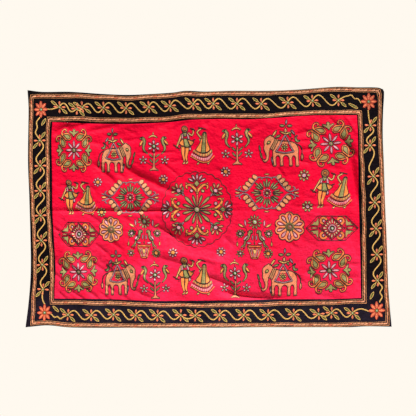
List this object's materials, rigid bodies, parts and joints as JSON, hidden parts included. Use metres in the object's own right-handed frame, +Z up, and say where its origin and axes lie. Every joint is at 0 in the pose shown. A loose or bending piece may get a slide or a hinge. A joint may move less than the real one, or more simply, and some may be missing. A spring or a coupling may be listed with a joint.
{
  "type": "embroidered wall hanging",
  "caption": "Rectangular cotton wall hanging: a red ground panel in shallow folds inside a black border with raised braid rows, hung from its top edge.",
  "frame": {"origin": "middle of the top edge, where the hanging is held", "axes": "+X to the viewer's right along the top edge, +Y away from the viewer through the cloth, +Z up"},
  "size_m": [1.553, 0.0367, 1.0223],
  "materials": {
    "ground_cloth": "plain woven cotton with a slight sheen",
    "border_cloth": "plain woven black cotton"
  },
  "bodies": {
    "root": {"ground_panel": "ground_cloth", "border_top": "border_cloth", "border_bottom": "border_cloth", "border_left": "border_cloth", "border_right": "border_cloth"}
  },
  "joints": []
}
